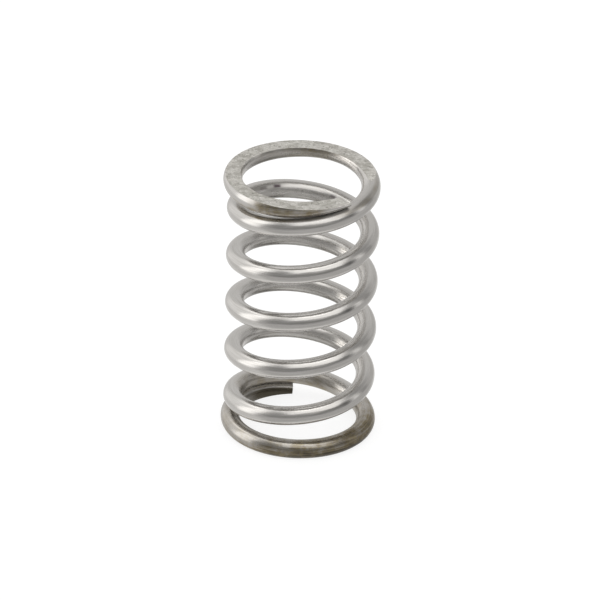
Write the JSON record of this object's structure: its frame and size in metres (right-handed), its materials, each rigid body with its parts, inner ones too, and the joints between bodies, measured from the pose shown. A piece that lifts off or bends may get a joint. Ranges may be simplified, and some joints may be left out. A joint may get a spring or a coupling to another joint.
{
  "type": "compression spring",
  "caption": "Small cylindrical compression spring wound from round stainless wire, with closed and ground ends.",
  "frame": {"origin": "middle of the spring's ground bottom face, on the axis of its coils", "axes": "+Z along the coils' axis from the bottom face to the top face; +X to the right and +Y away in the front view"},
  "size_m": [0.0124, 0.0126, 0.022],
  "materials": {
    "spring_steel": "bright drawn wire, ground flat at both ends"
  },
  "bodies": {
    "root": {"spring_wire": "spring_steel"}
  },
  "joints": []
}
